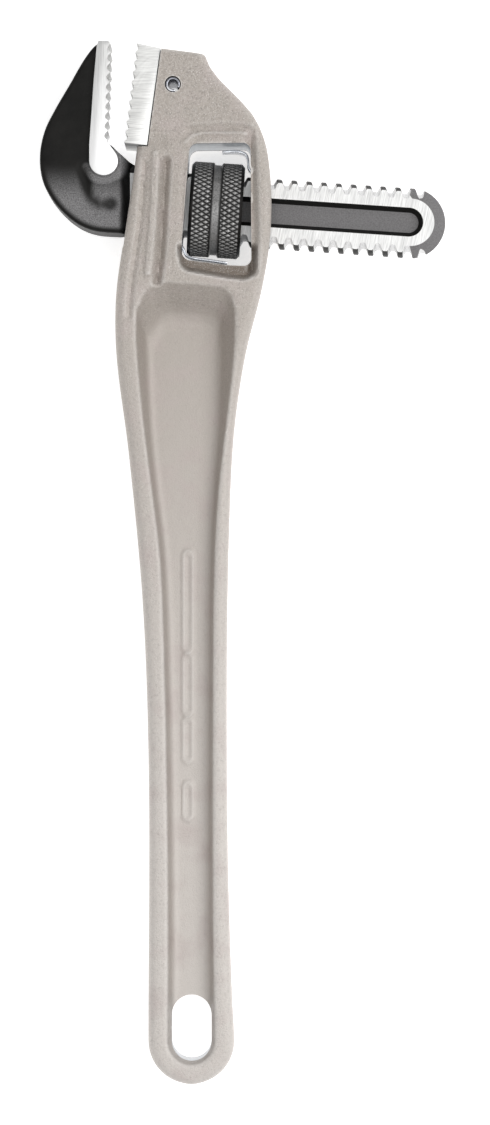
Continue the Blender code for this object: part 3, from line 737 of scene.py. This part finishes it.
shank = {
    "crest": 12.0, "root": 10.0, "crestWidth": 1.9, "rootWidth": 1.9, "phase": 0.61,
    "half": 6.0, "tip": 78.7, "tipEdge": 3.9, "sides": 96, "start": -31.0, "turns": (-6, 17),
    "tipSteps": ((0.0, 1.0), (1.4, 0.52), (3.6, 0.0)),   # depth below the flat, share of tipEdge
    "neckHalf": 5.8, "blackUntil": -15, "webFlare": 1.2,
    "neck": ((-33.0, -10.7), (-24.5, -10.9), (-24.5, 13.2), (-28.6, 13.2), (-33.0, 9.0)),
    "webFloor": 2.4, "webWidth": 9.9, "webFloorWidth": 6.9, "webSpan": (-8.0, 71.0),
}


def threadedRod():
    # right-hand thread whose face grid follows the helix, wide crests first
    crest, root, pitch = shank["crest"], shank["root"], threadPitch
    halfCrest, halfRoot = shank["crestWidth"] / 2, shank["rootWidth"] / 2
    profile = ((-halfCrest, crest - 0.35), (-halfCrest + 0.3, crest), (halfCrest - 0.3, crest),
               (halfCrest, crest - 0.35), (pitch / 2 - halfRoot, root + 0.3),
               (pitch / 2 - halfRoot + 0.35, root), (pitch / 2 + halfRoot - 0.35, root),
               (pitch / 2 + halfRoot, root + 0.3))
    count = len(profile)
    mesh = bmesh.new()

    def ring(place, radius, lead):
        row = []
        for j in range(shank["sides"]):
            share = j / shank["sides"]
            around = 2 * math.pi * share
            row.append(mesh.verts.new((place + lead * share, radius * math.cos(around),
                                       radius * math.sin(around))))
        return row

    first, last = shank["turns"]
    grid = [ring(shank["phase"] + shift + pitch * turn, radius, pitch)
            for turn in range(first, last) for shift, radius in profile]
    start = ring(pitch * (first - 1), root, 0)
    end = ring(pitch * (last + 1), root, 0)
    for before, after in zip([start, *grid], [*grid, end]):
        for j in range(shank["sides"] - 1):
            mesh.faces.new((before[j], after[j], after[j + 1], before[j + 1]))
    for i in range(len(grid) - count - 1):
        mesh.faces.new((grid[i][-1], grid[i + 1][-1], grid[i + count + 1][0], grid[i + count][0]))
    mesh.faces.new([start[-1], start[0]] + [grid[n][0] for n in range(count + 1)] + [grid[0][-1]])
    mesh.faces.new([end[0], end[-1]] + [grid[-n][-1] for n in range(1, count + 2)] + [grid[-1][0]])
    mesh.faces.new(start)
    mesh.faces.new(end)
    return onShank(mesh)


def shankBlank():
    # flat sides and a round tip with broad eased edges
    radius, centre = shank["crest"], shank["tip"] - shank["crest"]
    half, start, side = shank["half"], shank["start"], radius + 1
    levels = [(half - depth, share * shank["tipEdge"]) for depth, share in shank["tipSteps"]]
    levels = [(-z, inset) for z, inset in levels] + levels[::-1]
    rings = []
    for z, inset in levels:
        outline = [(start, -side), (centre - 4, -side)]
        outline += arc((centre, 0), radius - inset, -90, 90, 40)
        outline += [(centre - 4, side), (start, side)]
        rings.append([(x, y, z) for x, y in outline])
    return onShank(loft(rings))


def webGroove(side):
    rings = []
    for z, width in ((shank["webFloor"], shank["webFloorWidth"]), (shank["half"], shank["webWidth"]),
                     (shank["half"] + 2, shank["webWidth"] + shank["webFlare"])):
        radius, grow = width / 2, (width - shank["webWidth"]) / 2
        low, high = shank["webSpan"][0] - grow, shank["webSpan"][1] + grow
        outline = arc((high - radius, 0), radius, -90, 90, 24)
        outline += arc((low + radius, 0), radius, 90, 270, 24)
        rings.append([(x, y, side * z) for x, y in outline])
    return onShank(loft(rings))


def buildShank(crestBlack, flat, thread, groove):
    rod = makePiece("hook_shank", threadedRod(), thread)
    combine(rod, [makePiece("blank", shankBlank(), flat)], "INTERSECT")
    neck = onShank(prism(shank["neck"], -shank["neckHalf"], shank["neckHalf"]))
    combine(rod, [makePiece("neck", neck, crestBlack)], "UNION")
    combine(rod, [makePiece(f"web{side}", webGroove(side), groove) for side in (1, -1)])
    names = [material.name for material in rod.data.materials]
    black, bright = names.index(crestBlack.name), names.index(thread.name)
    silver, grey = names.index(flat.name), names.index(groove.name)
    toShank = toWrench.inverted()
    for face in rod.data.polygons:
        place = toShank @ ((face.center - origin) / milli)
        radius = math.hypot(place.y, place.z)
        flatOn = abs(face.normal.z) > 0.97
        if face.material_index == bright and radius > shank["crest"] - 0.25:
            face.material_index = black   # crests keep the forging's skin
        elif place.x < shank["blackUntil"] or (face.material_index == grey and not flatOn):
            face.material_index = black   # the neck, and the walls of the web's recess
        elif face.material_index == silver and not flatOn:
            face.material_index = grey    # the tip's eased edge
    sharpen(rod, 24)
    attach(rod, "hook")
    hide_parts("hook_jaw")


def buildHookBody(forged, padSteel):
    back = smoothPath(hook["back"], 6)
    across, down = hook["setback"]
    front = [(x - across, y - down) for x, y in hook["face"]]
    shape = front + back + [hook["foot"], *hook["throat"]]
    body = makePiece("hook_forging", prism(shape, -hook["half"], hook["half"]), forged)
    bevelEdges(body, hook["edge"], 4, 50)
    shoulders = []
    for side in (1, -1):
        rings = [[(x, y, side * z) for x, z in hook["shoulder"]] for y in hook["shoulderSpan"]]
        shoulders.append(makePiece(f"shoulder{side}", loft(rings), forged))
    combine(body, shoulders)
    voxelSkin(body, hook["voxel"], hook["smoothing"])
    points = pointsOf(body)
    padRing = arc(hook["padEnd"], hook["padRadius"] + 1.6, 200, 400, 10)
    out = np.sign(points[:, 2]) * ease(np.abs(points[:, 2]), 1.0, 4.0)
    band = stroke(points, hook["lowerCurve"], 3.0, 4.0)
    collar = stroke(points, padRing, 1.6, 2.0)
    dimple = 1 - ease(reachOf(points, hook["dimple"]), 0.6, 3.2)
    rim = stroke(points, arc(hook["rimCentre"], hook["rimRadius"], 120, 330, 12), 0.6, 1.6)
    valley = stroke(points, hook["valley"], 1.6, 3.6)
    rise = -0.5 + 0.45 * band + 0.4 * collar - 1.5 * dimple + 0.4 * rim - 0.5 * valley
    points[:, 2] += out * rise
    movePoints(body, points)
    x, y = points[:, 0], points[:, 1]
    # rubbed and painted reflection: the hook's lower curve lightened, partly as rubbed grey dust and
    # partly as a painted reflection of the pale floor; the collar round the pad rubbed, the valley and
    # the dimple kept black
    low = ease(308 - y, -6, 8) * (1 - ease(x, -25.0, -22.0))
    low *= ease(depthInside(points, [*back, hook["foot"]]), 0.9, 2.6)
    rubbedAndSheen = np.clip(np.maximum(low * 0.9, collar * 0.9) - 0.8 * valley - 0.8 * dimple, 0, 1)
    markPoints(body, "rubbedAndSheen", rubbedAndSheen)
    sharpen(body, 60)

    face = teeth(*hook["face"], (-1.0, 0.0))
    outline = face + [hook["padTop"], *hook["padBack"]]
    outline += arc(hook["padEnd"], hook["padRadius"], 184, 396, 28)
    pad = makePiece("hook_teeth", prism(outline, -hook["padHalf"], hook["padHalf"]), padSteel)
    bevelEdges(pad, 0.35, 2, 50)
    # painted sheen: the pad's steel painted brighter towards its lower end
    markPoints(pad, "low", ease(-pointsOf(pad)[:, 1], -346, -318))
    sharpen(pad, 28)
    for piece in (body, pad):
        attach(piece, "hook")
        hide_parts("hook_jaw")


# ---- adjusting nut
nut = {
    "radius": 16.25, "width": 18.1, "chamfer": 0.9, "groove": 3.0, "grooveDepth": 0.8,
    "knurlDepth": 0.42, "knurlLength": 3.1, "knurlCount": 56, "sides": 448, "bore": 12.4,
    # grooveSheen sets how far the middle groove is painted lighter, a painted sheen
    "bands": ((-8.0, -1.75), (1.75, 8.2)), "grooveSheen": 0.62,
}


def knurlAt(along, around):
    # 1 on a crest of the diamond knurl, 0 in a valley
    first = along / nut["knurlLength"] + around * nut["knurlCount"]
    second = along / nut["knurlLength"] - around * nut["knurlCount"]
    height = min(abs((first % 1) * 2 - 1), abs((second % 1) * 2 - 1))
    return min(1.0, height * 1.55)


def buildNut(oxide):
    half, groove = nut["width"] / 2, nut["groove"] / 2
    radius, chamfer = nut["radius"], nut["chamfer"]
    keys = ((-half, radius - chamfer - 0.2), (-half + 0.2, radius - chamfer),
            (-half + chamfer, radius - 0.15), (-half + chamfer + 0.25, radius),
            (-groove - 0.1, radius), (-groove, radius - 0.1),
            (-groove + 0.45, radius - nut["grooveDepth"]), (groove - 0.45, radius - nut["grooveDepth"]),
            (groove, radius - 0.1), (groove + 0.1, radius), (half - chamfer - 0.25, radius),
            (half - chamfer, radius - 0.15), (half - 0.2, radius - chamfer),
            (half, radius - chamfer - 0.2))
    places = sorted({round(k[0], 3) for k in keys} | {round(p, 3) for low, high in nut["bands"]
                                                      for p in spread(low, high, 0.2)})
    mesh = bmesh.new()
    wornAndSheen = []
    rows = []
    for place in places:
        for (a, low), (b, high) in zip(keys, keys[1:]):
            if a <= place <= b:
                plain = low + (high - low) * (place - a) / (b - a)
        row = []
        share = max(min(float(ease(place, low, low + 0.35)), float(ease(high - place, 0, 0.35)))
                    for low, high in nut["bands"])
        for s in range(nut["sides"]):
            crest = knurlAt(place, s / nut["sides"])
            around = 2 * math.pi * s / nut["sides"]
            reach = plain - nut["knurlDepth"] * share * (1 - crest)
            row.append(mesh.verts.new((place, reach * math.cos(around), reach * math.sin(around))))
            wear = share * float(ease(crest, 0.35, 0.95))
            # painted sheen: the middle groove set partly bare and lighter, standing in for the
            # highlight along it
            wornAndSheen.append(max(wear, nut["grooveSheen"] if abs(place) < groove - 0.3 else 0.0))
        rows.append(row)
    for bore in (half, -half):   # the bore, then back to the first ring
        row = []
        for s in range(nut["sides"]):
            around = 2 * math.pi * s / nut["sides"]
            row.append(mesh.verts.new((bore, nut["bore"] * math.cos(around),
                                       nut["bore"] * math.sin(around))))
            wornAndSheen.append(0.0)
        rows.append(row)
    for first, second in zip(rows, [*rows[1:], rows[0]]):
        for i in range(nut["sides"]):
            j = (i + 1) % nut["sides"]
            mesh.faces.new((first[i], first[j], second[j], second[i]))
    ring = makePiece("knurled_nut", onShank(mesh), oxide)
    markPoints(ring, "wornAndSheen", wornAndSheen)
    sharpen(ring, 32)
    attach(ring, "nut")
    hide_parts("adjusting_nut")


# ---- leaf springs
leaves = {
    "thick": 0.8, "half": 4.55,
    "upper": ((10.9, 318.4), (15.4, 318.6), (18.6, 317.9), (19.7, 316.0), (19.85, 313.6),
              (20.6, 312.0), (22.6, 311.3), (26.6, 311.0)),
    "lower": ((12.6, 280.4), (7.0, 281.3), (1.0, 282.1), (-1.3, 283.1), (-2.15, 284.8),
              (-3.0, 286.1), (-5.4, 286.6), (-17.0, 287.4)),
}


def buildLeaf(name, path, node, steel):
    path = [Vector(point) for point in smoothPath(path, 6)]
    sides = ([], [])
    for i, place in enumerate(path):
        along = (path[min(i + 1, len(path) - 1)] - path[max(i - 1, 0)]).normalized()
        across = Vector((-along.y, along.x)) * leaves["thick"] / 2
        sides[0].append(tuple(place + across))
        sides[1].append(tuple(place - across))
    strip = makePiece(name, prism(sides[0] + sides[1][::-1], -leaves["half"], leaves["half"]), steel)
    bevelEdges(strip, 0.16, 2, 50)
    sharpen(strip, 30)
    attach(strip, "rocker")
    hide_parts(node)


# ---- studio
studio = {
    "distance": 1.7, "aim": (0.000655, 0.00019, 0.017), "seen": 0.3825, "sensor": 24.0,
    "lamps": (  # name, place, size, watts
        ("keyLamp", (0.85, 0.1, 1.2), 0.8, 8.0),
        ("topLamp", (0.1, -0.25, 1.9), 1.0, 6.0),
    ),
    "sky": 0.58, "floorGlow": 0.6,
}


def buildStudio():
    aim = Vector(studio["aim"])
    lens = bpy.data.cameras.new("camera")
    lens.sensor_fit, lens.sensor_height = "VERTICAL", studio["sensor"]
    lens.lens = studio["sensor"] * (studio["distance"] - 0.014) / studio["seen"]
    camera = addObject("camera", lens)
    camera.location = aim + Vector((0, 0, studio["distance"]))
    bpy.context.scene.camera = camera
    bpy.context.scene.view_settings.view_transform = "Standard"
    for name, place, size, watts in studio["lamps"]:
        light = bpy.data.lights.new(name, "AREA")
        light.size, light.energy = size, watts
        lamp = addObject(name, light)
        lamp.location = place
        lamp.rotation_euler = (Vector(place) - aim).to_track_quat("Z", "Y").to_euler()
    world = bpy.data.worlds.new("softWhite")
    world.use_nodes = True
    backdrop = world.node_tree.nodes["Background"]
    backdrop.inputs["Color"].default_value = (1.0, 1.0, 1.0, 1.0)
    backdrop.inputs["Strength"].default_value = studio["sky"]
    bpy.context.scene.world = world

    pale = Finish("paleFloor", Roughness=0.9, Specular_IOR_Level=0.1,
                  Emission_Strength=studio["floorGlow"])
    pale.shader.inputs["Emission Color"].default_value = (1.0, 1.0, 1.0, 1.0)
    tone = pale.blend(pale.noise(60.0, 2.0), (0.90, 0.90, 0.90), (0.93, 0.93, 0.93))
    ground = bmesh.new()
    bmesh.ops.create_grid(ground, size=1.5, matrix=Matrix.Translation((0, 0, -0.0004)))
    data = bpy.data.meshes.new("floor")
    ground.to_mesh(data)
    ground.free()
    data.materials.append(pale.feed(Base_Color=tone))
    addObject("floor", data)


buildCasting(makeCastPaint(), makeMachined())
print("casting done")
buildHeel(makeGround("heelSteel", (0.93, 0.93, 0.91), line=0.26, stain=(0.66, 0.66, 0.64)),
          makeSpringSteel("pinSteel", (0.27, 0.28, 0.32), 0.22))
print("heel jaw done")
forged = makeForged()
buildHookBody(forged, makeGround("toothSteel", (0.66, 0.66, 0.65), across=True, line=0.5,
                                 low=(0.95, 0.95, 0.95)))
buildShank(forged, makeGround("shankSteel", (0.86, 0.86, 0.85), turn=0.2, across=True, line=0.3,
                              stain=(0.42, 0.42, 0.42)),
           makeGround("threadSteel", (0.80, 0.80, 0.80), across=True, line=0.3),
           makeGroove())
print("hook jaw done")
buildNut(makeOxide())
print("nut done")
stripSteel = makeSpringSteel("stripSteel", (0.62, 0.64, 0.68), 0.2)
buildLeaf("upper_leaf", leaves["upper"], "upper_leaf_spring", stripSteel)
buildLeaf("lower_leaf", leaves["lower"], "lower_leaf_spring", stripSteel)
buildStudio()
print("studio done")
